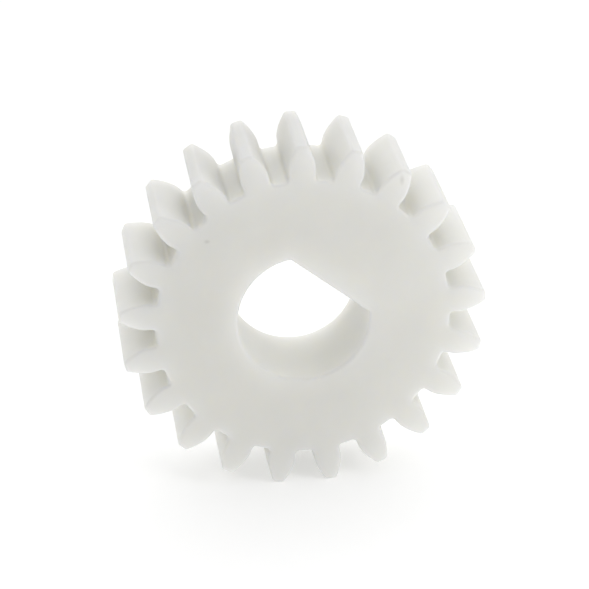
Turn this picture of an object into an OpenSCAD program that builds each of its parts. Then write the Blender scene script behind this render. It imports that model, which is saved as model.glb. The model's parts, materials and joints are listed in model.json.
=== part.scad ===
// Spur gear with a D bore, moulded in one piece from natural nylon or acetal.
//
// The gear turns about the Y axis. Its plain front face looks along -Y and its cored back
// face along +Y. The origin is on the bore axis, half way between the two faces. A tooth
// points straight up, so the gear can stand on its two lowest teeth.

/* [Teeth] */
// Number of teeth, odd so that the gear stands on two of them
teeth = 21; // [15:2:41]
// Module, which is the pitch diameter divided by the number of teeth
gear_module = 1; // [1:0.05:2]
// Pressure angle in degrees
pressure_angle = 20; // [14.5:0.5:22.5]
// Height of a tooth above the pitch circle, in modules
addendum = 1; // [0.8:0.05:1]
// Depth of a tooth gap below the pitch circle, in modules
dedendum = 1.25; // [1.1:0.05:1.4]
// Radius of the corners at a tooth's tip, in modules
tip_radius = 0.25; // [0.05:0.05:0.25]
// Radius of the fillet at a tooth's root, in modules
root_radius = 0.25; // [0.1:0.05:0.35]

/* [Body] */
// Width of the gear from face to face
face_width = 6.4; // [5:0.1:12]
// Chamfer at the two ends of each tooth's tip
end_chamfer = 0.25; // [0.1:0.05:0.5]

/* [D bore] */
// Diameter of the round part of the bore
bore_diameter = 8.2; // [4:0.1:8.2]
// How far the flat stands in from the bore's round wall
flat_depth = 1.4; // [0.2:0.1:1.4]
// Direction of the flat from the axis, in degrees above +X
flat_direction = 52; // [0:0.5:359]
// Lead-in chamfer at both ends of the bore
lead_in = 0.25; // [0.1:0.05:0.4]

/* [Core ring in the back face] */
// Thickness of the hub wall between the bore and the core ring
hub_wall = 2.3; // [1:0.1:2.3]
// Thickness of the rim between the core ring and the tooth roots
rim_wall = 1.45; // [1:0.05:1.5]
// Depth of the core ring
core_depth = 3.6; // [1:0.1:3.6]
// Draft of the core ring's walls in degrees
core_draft = 1.5; // [0.5:0.5:3]

/* [Hidden] */

$fn = 96;
// Steps along one flank, and round each small corner of the outline
FLANK_STEPS = 7;
CORNER_STEPS = 4;
// How far a cutting shape runs past the surface that it cuts
PAST = 1;
// The narrowest floor that the core ring may have
LEAST_CORE_FLOOR = 0.5;

pitch_r = gear_module * teeth / 2;
tip_r = pitch_r + addendum * gear_module;
root_r = pitch_r - dedendum * gear_module;
base_r = pitch_r * cos(pressure_angle);
tooth_pitch = 360 / teeth;
tip_corner_r = tip_radius * gear_module;
root_fillet_r = root_radius * gear_module;

half_width = face_width / 2;
bore_r = bore_diameter / 2;
flat_distance = bore_r - flat_depth;

core_in_r = bore_r + hub_wall;
core_out_r = root_r - rim_wall;
core_taper = core_depth * tan(core_draft);
has_core = core_out_r - core_in_r - 2 * core_taper > LEAST_CORE_FLOOR;

// ---- The outline of the teeth, drawn in the XY plane with a tooth along +Y ----

// A point at radius r, at an angle clockwise from +Y
function polar(r, angle) = [r * sin(angle), r * cos(angle)];

// The involute function, in degrees
function involute(angle) = tan(angle) * 180 / PI - angle;

// Half the angle that a tooth fills at radius r; below the base circle its sides are radial
function half_tooth(r) =
    90 / teeth + involute(pressure_angle) - involute(acos(min(1, base_r / r)));

// An arc of radius r that rounds the corner b on the way from a to c
function rounded(a, b, c, r) =
    let (
        to_a = (a - b) / norm(a - b),
        to_c = (c - b) / norm(c - b),
        half = acos(to_a * to_c) / 2,
        sweep = 180 - 2 * half,
        centre = b + (to_a + to_c) / norm(to_a + to_c) * r / sin(half),
        start = b + to_a * r / tan(half) - centre,
        end = b + to_c * r / tan(half) - centre
    )
    [for (i = [0 : CORNER_STEPS])
        let (t = sweep * i / CORNER_STEPS)
        centre + (start * sin(sweep - t) + end * sin(t)) / sin(sweep)];

// The involute side of a tooth, from just below its tip corner to just above its fillet
function flank() =
    let (
        top = tip_r - 0.8 * tip_corner_r,
        bottom = root_r + 1.2 * root_fillet_r
    )
    [for (i = [0 : FLANK_STEPS])
        let (r = top + (bottom - top) * i / FLANK_STEPS)
        polar(r, half_tooth(r))];

// The middle of the gap to the right of the upright tooth
gap_middle = polar(root_r, tooth_pitch / 2);

// The right-hand side of a tooth, from its tip down to the root circle
function tooth_side() =
    let (
        side = flank(),
        tip_corner = polar(tip_r, half_tooth(tip_r)),
        root_corner = polar(root_r, half_tooth(root_r))
    )
    concat(
        rounded([0, tip_r], tip_corner, side[0], tip_corner_r),
        side,
        rounded(side[FLANK_STEPS], root_corner, gap_middle, root_fillet_r)
    );

// A path in reverse order, on the other side of the tooth
function mirrored(path) = [for (i = [len(path) - 1 : -1 : 0]) [-path[i][0], path[i][1]]];

// A path turned clockwise about the axis
function turned(path, angle) =
    [for (p = path)
        [p[0] * cos(angle) + p[1] * sin(angle), p[1] * cos(angle) - p[0] * sin(angle)]];

function gear_outline() =
    let (
        side = tooth_side(),
        tooth = concat(mirrored(side), [[0, tip_r]], side, [gap_middle])
    )
    [for (k = [0 : teeth - 1]) each turned(tooth, k * tooth_pitch)];

// ---- Solids, made standing along Z with the front face on top ----

// A disc a little larger than the tip circle, whose chamfered edges trim the tooth ends
module end_trim() {
    edge_r = tip_r + end_chamfer / 2;
    cut = end_chamfer * 1.5;
    rotate_extrude()
        polygon([
            [0, -half_width],
            [edge_r - cut, -half_width],
            [edge_r, -half_width + cut],
            [edge_r, half_width - cut],
            [edge_r - cut, half_width],
            [0, half_width]
        ]);
}

module toothed_blank() {
    intersection() {
        linear_extrude(height = face_width, center = true) polygon(gear_outline());
        end_trim();
    }
}

// The axis side of the flat, as a block wider than the bore
module inside_flat() {
    rotate([0, 0, flat_direction])
        translate([flat_distance - 2 * tip_r, -tip_r, -tip_r])
            cube(2 * tip_r);
}

module d_hole() {
    intersection() {
        cylinder(h = face_width + 2 * PAST, r = bore_r, center = true);
        inside_flat();
    }
}

// The lead-in at the front end of the bore, which slopes along the flat as well
module bore_mouth() {
    intersection() {
        translate([0, 0, half_width - lead_in])
            cylinder(h = 2 * lead_in, r1 = bore_r, r2 = bore_r + 2 * lead_in);
        rotate([0, 0, flat_direction])
            translate([flat_distance, 0, half_width - lead_in])
                rotate([0, 45, 0])
                    translate([-3 * tip_r, -tip_r, -3 * tip_r])
                        cube([3 * tip_r, 2 * tip_r, 6 * tip_r]);
    }
}

// The ring that is cored out of the back face, with draft on both of its walls
module core_ring() {
    floor_z = core_depth - half_width;
    rotate_extrude()
        polygon([
            [core_in_r + core_taper, floor_z],
            [core_in_r, -half_width],
            [core_in_r, -half_width - PAST],
            [core_out_r, -half_width - PAST],
            [core_out_r, -half_width],
            [core_out_r - core_taper, floor_z]
        ]);
}

// ---- Sub-parts ----

module spur_gear() {
    color("#e9e9e3")
        rotate([90, 0, 0])
            difference() {
                toothed_blank();
                d_hole();
                bore_mouth();
                mirror([0, 0, 1]) bore_mouth();
                if (has_core) core_ring();
            }
}

spur_gear();
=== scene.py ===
"""Looks of the moulded spur gear: one milky nylon piece with soft edges, on a pale floor.

The gear turns about the Y axis and its plain front face looks along -Y. An outline is drawn in the
XZ plane, with angles clockwise from +Z as the front shows them. Lengths are in metres.
"""

import json
import math

import bmesh
import bpy
from mathutils import Matrix, Vector, noise


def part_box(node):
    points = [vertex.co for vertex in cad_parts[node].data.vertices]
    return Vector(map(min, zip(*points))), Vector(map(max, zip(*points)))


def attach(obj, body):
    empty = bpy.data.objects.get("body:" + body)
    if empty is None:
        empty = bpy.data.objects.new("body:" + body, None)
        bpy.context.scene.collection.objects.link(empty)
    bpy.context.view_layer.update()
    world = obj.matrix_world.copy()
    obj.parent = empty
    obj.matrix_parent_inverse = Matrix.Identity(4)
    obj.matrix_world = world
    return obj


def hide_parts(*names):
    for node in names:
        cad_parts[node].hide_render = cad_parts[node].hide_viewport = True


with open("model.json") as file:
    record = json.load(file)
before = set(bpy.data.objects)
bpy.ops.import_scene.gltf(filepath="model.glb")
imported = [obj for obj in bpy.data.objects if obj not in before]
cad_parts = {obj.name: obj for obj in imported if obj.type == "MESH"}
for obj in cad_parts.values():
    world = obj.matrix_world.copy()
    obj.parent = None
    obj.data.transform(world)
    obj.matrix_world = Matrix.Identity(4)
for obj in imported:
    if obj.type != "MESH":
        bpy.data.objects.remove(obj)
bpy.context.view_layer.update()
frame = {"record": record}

MM = 0.001

# ---- Sizes that the frame gives ----

mounts = {m["name"]: m for m in frame["record"]["mounts"]}
gear_low, gear_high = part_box("spur_gear")
flat_point = Vector(mounts["drive_flat"]["pos_m"])

TEETH = 21
TIP_R = gear_high.z
HALF_WIDTH = gear_high.y
MODULE = 2 * TIP_R / (TEETH + 2)
BORE_R = mounts["d_bore"]["dims"]["r_mm"] * MM
FLAT_DISTANCE = math.hypot(flat_point.x, flat_point.z)
FLAT_ANGLE = math.atan2(flat_point.x, flat_point.z)

PITCH_R = MODULE * TEETH / 2
DEDENDUM = 1.25
ROOT_R = PITCH_R - DEDENDUM * MODULE
PRESSURE_ANGLE = math.radians(20)
BASE_R = PITCH_R * math.cos(PRESSURE_ANGLE)
TOOTH_PITCH = 2 * math.pi / TEETH

# The core ring in the back face, as the CAD model has it
CORE_IN_R = BORE_R + 2.3 * MM
CORE_OUT_R = ROOT_R - 1.45 * MM
CORE_DEPTH = 3.6 * MM
CORE_DRAFT = math.radians(1.5)
# The rings where the faces' round profiles start below the tooth roots and end outside the bore
PROFILE_OUT_R = ROOT_R - 0.5 * MM
PROFILE_IN_R = CORE_IN_R - 0.6 * MM

# ---- Soft corners and edges of the moulding ----

TIP_CORNER_R = 0.25 * MM
ROOT_FILLET_R = 0.25 * MM
EDGE_R = 0.2 * MM
BORE_EDGE_R = 0.22 * MM
BORE_CORNER_R = 0.16 * MM
CORE_EDGE_R = 0.18 * MM
CORE_FLOOR_R = 0.4 * MM
# How far the front face sinks over the hub and rim, and half the width of the web that stands proud
FACE_SINK = 0.02 * MM
WEB_HALF = 0.75 * MM
# The unevenness of the skin: its depth, and the size of its waves
SKIN_DEPTH = 0.012 * MM
SKIN_WAVE = 2.5 * MM
# A ring of points this far inside each rounded edge keeps the flat faces flat
SUPPORT = 0.03 * MM

# ---- How finely each stretch of the outline is drawn ----

TIP_STEPS = 3
CORNER_STEPS = 6
FLANK_STEPS = 14
FILLET_STEPS = 6
ROOT_STEPS = 2
EDGE_STEPS = 5
WALL_ROWS = 8
FACE_STEPS = 16
# Rings over which the tooth roots' uneven spacing becomes even, and rows from the last ring to the D
BLEND_RINGS = 3
MOUTH_ROWS = 4
TOOTH_COLUMNS = 2 * TIP_STEPS
RING_COLUMNS = TEETH * (TOOTH_COLUMNS + 2 * ROOT_STEPS)


# ---- The outline of the teeth ----


def outward(angle):
    return Vector((math.sin(angle), math.cos(angle)))


def clockwise(angle):
    return Vector((math.cos(angle), -math.sin(angle)))


def involute(angle):
    return math.tan(angle) - angle


def slope_at(radius):
    """How far the flank at that radius leans from the radial direction."""
    return math.acos(min(1.0, BASE_R / radius))


def half_tooth(radius):
    """Half the angle that a tooth fills at that radius; it is radial below the base circle."""
    return math.pi / (2 * TEETH) + involute(PRESSURE_ANGLE) - involute(slope_at(radius))


def flank_normal(radius, angle):
    lean = slope_at(radius)
    return clockwise(angle) * math.cos(lean) + outward(angle) * math.sin(lean)


def steps(count, first=0):
    """Evenly spaced shares from 0 to 1; first=1 leaves out the 0."""
    return [i / count for i in range(first, count + 1)]


def arc_normals(start, end, count):
    """Unit vectors that turn evenly from start to end, without start itself."""
    turn = math.atan2(start.x * end.y - start.y * end.x, start.dot(end))
    return [Matrix.Rotation(turn * t, 2) @ start for t in steps(count, 1)]


def tooth_side():
    """(point, normal) pairs from the middle of a tooth's tip to the middle of the gap beside it."""
    corner_centre_r = TIP_R - TIP_CORNER_R
    corner_angle = half_tooth(corner_centre_r) - TIP_CORNER_R / BASE_R
    corner_centre = outward(corner_angle) * corner_centre_r
    corner_end = flank_normal(corner_centre_r, corner_angle)

    fillet_centre_r = ROOT_R + ROOT_FILLET_R
    flank_foot_angle = half_tooth(BASE_R)
    fillet_angle = flank_foot_angle + math.asin(ROOT_FILLET_R / fillet_centre_r)
    fillet_centre = outward(fillet_angle) * fillet_centre_r
    fillet_start = clockwise(flank_foot_angle)

    side = [(outward(corner_angle * t) * TIP_R, outward(corner_angle * t)) for t in steps(TIP_STEPS)]
    for normal in arc_normals(outward(corner_angle), corner_end, CORNER_STEPS):
        side.append((corner_centre + normal * TIP_CORNER_R, normal))
    flank_top = (corner_centre + corner_end * TIP_CORNER_R).length
    flank_foot = (fillet_centre - fillet_start * ROOT_FILLET_R).length
    for t in steps(FLANK_STEPS, 1):
        radius = flank_top + (flank_foot - flank_top) * t
        angle = half_tooth(radius)
        side.append((outward(angle) * radius, flank_normal(radius, angle)))
    for normal in arc_normals(fillet_start, outward(fillet_angle), FILLET_STEPS):
        side.append((fillet_centre - normal * ROOT_FILLET_R, normal))
    for t in steps(ROOT_STEPS, 1):
        angle = fillet_angle + (TOOTH_PITCH / 2 - fillet_angle) * t
        side.append((outward(angle) * ROOT_R, outward(angle)))
    return side


def flipped(pair):
    return tuple(Vector((-v.x, v.y)) for v in pair)


def whole_outline():
    """The gear's outline clockwise, tooth by tooth, each from its left fillet to the gap on its right."""
    right = tooth_side()
    left = [flipped(pair) for pair in reversed(right[1:-1])]
    tooth = left + right
    outline = []
    for k in range(TEETH):
        turn = Matrix.Rotation(-k * TOOTH_PITCH, 2)
        outline += [(turn @ point, turn @ normal) for point, normal in tooth]
    return outline


# ---- The outline of the D bore ----


def bore_outline():
    """(point, normal into the plastic) pairs clockwise round the D, RING_COLUMNS of them."""
    corner_x = FLAT_DISTANCE - BORE_CORNER_R
    corner_y = math.sqrt((BORE_R - BORE_CORNER_R) ** 2 - corner_x**2)
    corner_angle = math.atan2(corner_y, corner_x)
    flat_count = 2 * round(RING_COLUMNS * corner_angle / math.tau) - CORNER_STEPS
    flat_half_angle = math.atan2(corner_y, FLAT_DISTANCE)
    arc_count = RING_COLUMNS - flat_count - 2 * CORNER_STEPS

    # Drawn with the flat at the top, then turned to where it is
    pairs = []
    up = Vector((0, 1))
    for t in steps(flat_count):
        across = FLAT_DISTANCE * math.tan(flat_half_angle * (2 * t - 1))
        pairs.append((Vector((across, FLAT_DISTANCE)), up))
    right_centre = Vector((corner_y, corner_x))
    for normal in arc_normals(up, outward(corner_angle), CORNER_STEPS):
        pairs.append((right_centre + normal * BORE_CORNER_R, normal))
    for t in steps(arc_count, 1):
        angle = corner_angle + (math.tau - 2 * corner_angle) * t
        pairs.append((outward(angle) * BORE_R, outward(angle)))
    left_centre = Vector((-corner_y, corner_x))
    for normal in arc_normals(outward(-corner_angle), up, CORNER_STEPS)[:-1]:
        pairs.append((left_centre + normal * BORE_CORNER_R, normal))
    turn = Matrix.Rotation(-FLAT_ANGLE, 2)
    return [(turn @ point, turn @ normal) for point, normal in pairs]


# ---- Profiles of the two faces, as (radius, depth below the face) from the rim inwards ----


def rounded_corner(before, corner, after, radius, count):
    """Points of an arc of that radius that rounds the corner of a path."""
    to_before, to_after = (before - corner).normalized(), (after - corner).normalized()
    half = to_before.angle(to_after) / 2
    centre = corner + (to_before + to_after).normalized() * radius / math.sin(half)
    start = corner + to_before * radius / math.tan(half) - centre
    end = corner + to_after * radius / math.tan(half) - centre
    return [centre + start] + [centre + v * radius for v in arc_normals(start / radius, end / radius, count)]


def core_profile():
    taper = CORE_DEPTH * math.tan(CORE_DRAFT)
    path = [
        Vector((PROFILE_OUT_R, 0)),
        Vector((CORE_OUT_R, 0)),
        Vector((CORE_OUT_R - taper, CORE_DEPTH)),
        Vector((CORE_IN_R + taper, CORE_DEPTH)),
        Vector((CORE_IN_R, 0)),
        Vector((PROFILE_IN_R, 0)),
    ]
    radii = [CORE_EDGE_R, CORE_FLOOR_R, CORE_FLOOR_R, CORE_EDGE_R]
    profile = [path[0]]
    for before, corner, after, radius in zip(path, path[1:], path[2:], radii):
        profile += rounded_corner(before, corner, after, radius, CORNER_STEPS)
    return profile + [path[-1]]


def front_profile():
    """The front face sinks a hair over the thick hub and rim, so the web between stands proud."""
    web_r = (CORE_IN_R + CORE_OUT_R) / 2
    profile = []
    for t in steps(FACE_STEPS):
        radius = PROFILE_OUT_R + (PROFILE_IN_R - PROFILE_OUT_R) * t
        web = math.exp(-(((radius - web_r) / WEB_HALF) ** 2))
        profile.append(Vector((radius, FACE_SINK * (1 - web))))
    return profile


# ---- The gear's mesh ----


class Skin:
    """A mesh that grows ring by ring, with every vertex shared by the rings that meet there."""

    def __init__(self):
        self.bm = bmesh.new()

    def point(self, plane, y):
        return self.bm.verts.new((plane.x, y, plane.y))

    def ring(self, planes, y):
        return [self.point(plane, y) for plane in planes]

    def band(self, ring_a, ring_b, closed=True):
        """Quads between two rows of as many vertices. Facing along ring_a, ring_b is on the left."""
        count = len(ring_a)
        for i in range(count if closed else count - 1):
            j = (i + 1) % count
            self.bm.faces.new((ring_a[i], ring_a[j], ring_b[j], ring_b[i]))


def moved(pairs, distance):
    return [point + normal * distance for point, normal in pairs]


def edge_arc(radius):
    """(how far the wall has drawn back, how far the face is still below) round a quarter edge."""
    quarter = math.pi / 2
    return [
        (radius * (1 - math.cos(quarter * t)), radius * (1 - math.sin(quarter * t)))
        for t in steps(EDGE_STEPS)
    ]


def cap(skin, side, rim_row, bore_row, profile):
    """Fills one face between the teeth's rim row and the bore's mouth row.

    side is -1 at the front and 1 at the back.
    """
    y_face = side * HALF_WIDTH
    per_tooth = len(rim_row) // TEETH
    to_fillet = TIP_STEPS + CORNER_STEPS + FLANK_STEPS + FILLET_STEPS
    tip_index = to_fillet + ROOT_STEPS - 1
    outer_ring = []
    for k in range(TEETH):
        tooth = rim_row[k * per_tooth : (k + 1) * per_tooth]
        row = tooth[tip_index - TIP_STEPS : tip_index + TIP_STEPS + 1]
        for j in range(TIP_STEPS + 1, to_fillet + 1):
            left, right = tooth[tip_index - j], tooth[tip_index + j]
            radius = math.hypot(right.co.x, right.co.z)
            start, end = (math.atan2(v.co.x, v.co.z) for v in (left, right))
            end = start + (end - start) % math.tau
            inner = [outward(start + (end - start) * t) * radius for t in steps(TOOTH_COLUMNS)[1:-1]]
            below = [left] + skin.ring(inner, y_face) + [right]
            skin.band(below, row, closed=False) if side < 0 else skin.band(row, below, closed=False)
            row = below
        gap = tooth[tip_index + to_fillet + 1 :]
        gap += rim_row[(k + 1) * per_tooth % len(rim_row) :][: ROOT_STEPS - 1]
        outer_ring += row + gap

    columns = len(outer_ring)
    start_angles = [math.atan2(v.co.x, v.co.z) for v in outer_ring]
    first = start_angles[0]
    start_angles = [first + (a - first) % math.tau for a in start_angles]
    even_angles = [first + math.tau * i / columns for i in range(columns)]

    previous = outer_ring
    for n, place in enumerate(profile):
        blend = min(1.0, (n + 1) / BLEND_RINGS)
        angles = [a + (b - a) * blend for a, b in zip(start_angles, even_angles)]
        here = skin.ring([outward(a) * place.x for a in angles], y_face - side * place.y)
        skin.band(here, previous) if side < 0 else skin.band(previous, here)
        previous = here

    # From the last circle to the D, whose points start at the one nearest the circle's first
    offset = min(range(columns), key=lambda i: (previous[0].co - bore_row[i].co).length)
    mouth = bore_row[offset:] + bore_row[:offset]
    circle = [v.co.copy() for v in previous]
    for t in steps(MOUTH_ROWS)[1:-1]:
        here = [skin.bm.verts.new(a.lerp(b.co, t)) for a, b in zip(circle, mouth)]
        skin.band(here, previous) if side < 0 else skin.band(previous, here)
        previous = here
    skin.band(mouth, previous) if side < 0 else skin.band(previous, mouth)


def wall_positions(edge):
    """Y of the evenly spaced rows of a wall, from just inside one rounded edge to the other."""
    reach = HALF_WIDTH - edge
    inner = reach - SUPPORT
    return [-inner + 2 * inner * t for t in steps(WALL_ROWS)]


def wall(skin, pairs, edge, direction):
    """The wall of an outline with rounded edges. Returns its rows from the front face to the back.

    direction is -1 where the wall draws back against its normals, as the teeth do, and 1 for a bore.
    """
    arc = edge_arc(edge)
    rows = [skin.ring(moved(pairs, direction * (edge + SUPPORT)), -HALF_WIDTH)]
    for drawn, below in reversed(arc):
        rows.append(skin.ring(moved(pairs, direction * drawn), -HALF_WIDTH + below))
    planes = moved(pairs, 0)
    rows += [skin.ring(planes, y) for y in wall_positions(edge)]
    for drawn, below in arc:
        rows.append(skin.ring(moved(pairs, direction * drawn), HALF_WIDTH - below))
    rows.append(skin.ring(moved(pairs, direction * (edge + SUPPORT)), HALF_WIDTH))
    for ahead, behind in zip(rows, rows[1:]):
        skin.band(behind, ahead) if direction > 0 else skin.band(ahead, behind)
    return rows


def soften(mesh, amount, scale):
    """Sinks each point of the skin by an uneven hair, as moulded plastic is never quite flat."""
    normals = [v.normal.copy() for v in mesh.vertices]
    for vertex, normal in zip(mesh.vertices, normals):
        vertex.co += normal * (noise.noise(vertex.co / scale) - 1) / 2 * amount


def spur_gear():
    skin = Skin()
    tooth_rows = wall(skin, whole_outline(), EDGE_R, -1)
    bore_rows = wall(skin, bore_outline(), BORE_EDGE_R, 1)
    cap(skin, -1, tooth_rows[0], bore_rows[0], front_profile())
    cap(skin, 1, tooth_rows[-1], bore_rows[-1], core_profile())
    mesh = bpy.data.meshes.new("moulded_gear")
    skin.bm.normal_update()
    skin.bm.to_mesh(mesh)
    skin.bm.free()
    mesh.shade_smooth()
    soften(mesh, SKIN_DEPTH, SKIN_WAVE)
    gear = bpy.data.objects.new("moulded_gear", mesh)
    bpy.context.scene.collection.objects.link(gear)
    return gear


# ---- How bright the room is ----

CEILING = 1.1
BACK_WALL = 1.35
FLOOR_GLOW = 0.3


# ---- Materials ----


class Nodes:
    """Short calls for building the node tree of a material or a world."""

    def __init__(self, owner):
        self.tree = owner.node_tree
        self.tree.nodes.clear()

    def link(self, output, socket):
        self.tree.links.new(output, socket)

    def set(self, socket, value):
        if isinstance(value, bpy.types.NodeSocket):
            self.link(value, socket)
        else:
            socket.default_value = value

    def add(self, kind, **sockets):
        node = self.tree.nodes.new(kind)
        for name, value in sockets.items():
            self.set(node.inputs[name.replace("_", " ")], value)
        return node

    def math(self, operation, a, b):
        node = self.tree.nodes.new("ShaderNodeMath")
        node.operation = operation
        self.set(node.inputs[0], a)
        self.set(node.inputs[1], b)
        return node.outputs[0]

    def vector(self, operation, a, b, output="Vector"):
        node = self.tree.nodes.new("ShaderNodeVectorMath")
        node.operation = operation
        self.set(node.inputs[0], a)
        self.set(node.inputs[1], b)
        return node.outputs[output]


def new_material(name):
    material = bpy.data.materials.new(name)
    material.use_nodes = True
    return material, Nodes(material)


# Two small grey spots that darken the front face's colour, the second near a tooth's tip: (x, z) of the
# middle, then half the width and half the height, in mm
GREY_MARKS = [((-5.91, 5.62), (0.2, 0.14)), ((6.1, 8.97), (0.16, 0.36))]


def natural_plastic():
    """Milky nylon that lets light through, a touch uneven in tone and gloss."""
    material, n = new_material("natural_plastic")
    place = n.add("ShaderNodeTexCoord").outputs["Object"]

    def unevenness(size, detail, low, high):
        texture = n.add("ShaderNodeTexNoise", Vector=place, Scale=1 / size, Detail=detail)
        spread = n.add(
            "ShaderNodeMapRange",
            Value=texture.outputs[0],
            From_Min=0.3,
            From_Max=0.7,
            To_Min=low,
            To_Max=high,
        )
        return spread.outputs[0]

    def blend(share, first, second):
        mix = n.tree.nodes.new("ShaderNodeMix")
        mix.data_type = "RGBA"
        for socket, value in zip((mix.inputs[0], mix.inputs[6], mix.inputs[7]), (share, first, second)):
            n.set(socket, value)
        return mix.outputs[2]

    marks = 0.0
    for (x, z), (half_width, half_height) in GREY_MARKS:
        offset = n.vector("SUBTRACT", place, (x * MM, -HALF_WIDTH, z * MM))
        scaled = n.vector("DIVIDE", offset, (half_width * MM, half_width * MM, half_height * MM))
        reach = n.vector("LENGTH", scaled, (0, 0, 0), "Value")
        mark = n.add("ShaderNodeMapRange", Value=reach, From_Min=0.2, From_Max=1.2, To_Min=0.3, To_Max=0.0)
        marks = n.math("MAXIMUM", marks, mark.outputs[0])

    milky = blend(unevenness(4.5 * MM, 3.0, 0.0, 1.0), (0.79, 0.788, 0.757, 1), (0.82, 0.819, 0.79, 1))
    grain = n.add(
        "ShaderNodeBump", Height=unevenness(0.12 * MM, 2.0, 0.0, 1.0), Strength=0.05, Distance=0.02 * MM
    )
    skin = n.add(
        "ShaderNodeBsdfPrincipled",
        Base_Color=blend(marks, milky, (0.42, 0.41, 0.38, 1)),
        Roughness=unevenness(1.2 * MM, 4.0, 0.4, 0.52),
        Normal=grain.outputs[0],
        IOR=1.5,
        Subsurface_Weight=1.0,
        Subsurface_Radius=(1.0, 0.95, 0.8),
        Subsurface_Scale=3.0 * MM,
    )
    n.add("ShaderNodeOutputMaterial", Surface=skin.outputs[0])
    return material


def pale_floor():
    material, n = new_material("pale_floor")
    skin = n.add(
        "ShaderNodeBsdfPrincipled",
        Base_Color=(0.95, 0.95, 0.95, 1),
        Roughness=0.9,
        Emission_Color=(1, 1, 1, 1),
        Emission_Strength=FLOOR_GLOW,
    )
    n.add("ShaderNodeOutputMaterial", Surface=skin.outputs[0])
    return material


# ---- The studio ----


FLOOR_HALF_SIZE = 3


def studio_floor(z):
    bm = bmesh.new()
    height = Matrix.Translation((0, 0, z))
    bmesh.ops.create_grid(bm, x_segments=1, y_segments=1, size=FLOOR_HALF_SIZE, matrix=height)
    mesh = bpy.data.meshes.new("floor")
    bm.to_mesh(mesh)
    bm.free()
    mesh.materials.append(pale_floor())
    floor = bpy.data.objects.new("floor", mesh)
    bpy.context.scene.collection.objects.link(floor)


def soft_light(name, place, size, power):
    """A round soft light that looks at the gear."""
    data = bpy.data.lights.new(name, "AREA")
    data.shape = "DISK"
    data.size = size
    data.energy = power
    light = bpy.data.objects.new(name, data)
    light.location = place
    light.rotation_mode = "QUATERNION"
    light.rotation_quaternion = (-Vector(place)).to_track_quat("-Z", "Y")
    bpy.context.scene.collection.objects.link(light)


def white_room():
    """A bright ceiling and back wall, and a white band round the horizon, where every view ends."""
    world = bpy.data.worlds.new("white_room")
    world.use_nodes = True
    n = Nodes(world)
    direction = n.add("ShaderNodeTexCoord").outputs["Generated"]

    def lobe(axis, strength):
        facing = n.math("MAXIMUM", n.vector("DOT_PRODUCT", direction, axis, "Value"), 0.0)
        return n.math("MULTIPLY", n.math("POWER", facing, 2.0), strength)

    height = n.add("ShaderNodeSeparateXYZ", Vector=direction).outputs["Z"]
    band = n.add(
        "ShaderNodeMapRange", Value=height, From_Min=0.065, From_Max=0.1, To_Min=1.0, To_Max=0.0
    )
    walls = n.math("MAXIMUM", lobe((0, 0.995, 0.1), BACK_WALL), band.outputs[0])
    strength = n.math("ADD", walls, lobe((0, 0, 1), CEILING))
    background = n.add("ShaderNodeBackground", Color=(1, 1, 1, 1), Strength=strength)
    n.add("ShaderNodeOutputWorld", Surface=background.outputs[0])
    bpy.context.scene.world = world


def studio_light():
    white_room()
    # Close by on the right, so that the front face fades a little towards the left
    soft_light("key", place=(0.057, -0.04, 0.027), size=0.03, power=0.0093)


def studio_camera():
    """The photographed view: from a little left and above, through a long lens."""
    azimuth, elevation, roll = math.radians(-7.0), math.radians(24.5), math.radians(-0.57)
    distance = 166 * MM
    back = Vector(
        (
            math.sin(azimuth) * math.cos(elevation),
            -math.cos(azimuth) * math.cos(elevation),
            math.sin(elevation),
        )
    )
    data = bpy.data.cameras.new("camera")
    data.sensor_width = 36
    data.lens = 160.6
    data.clip_start = 10 * MM
    camera = bpy.data.objects.new("camera", data)
    camera.rotation_mode = "QUATERNION"
    turned = (-back).to_track_quat("-Z", "Y") @ Matrix.Rotation(roll, 4, "Z").to_quaternion()
    camera.rotation_quaternion = turned
    aim = turned @ Vector((-0.18 * MM, 0.24 * MM, 0))
    camera.location = aim + back * distance
    bpy.context.scene.collection.objects.link(camera)
    bpy.context.scene.camera = camera


# ---- Putting it together ----

gear = spur_gear()
gear.data.materials.append(natural_plastic())
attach(gear, "root")
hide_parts("spur_gear")

studio_floor(gear_low.z)
studio_light()
studio_camera()
bpy.context.scene.view_settings.view_transform = "Standard"
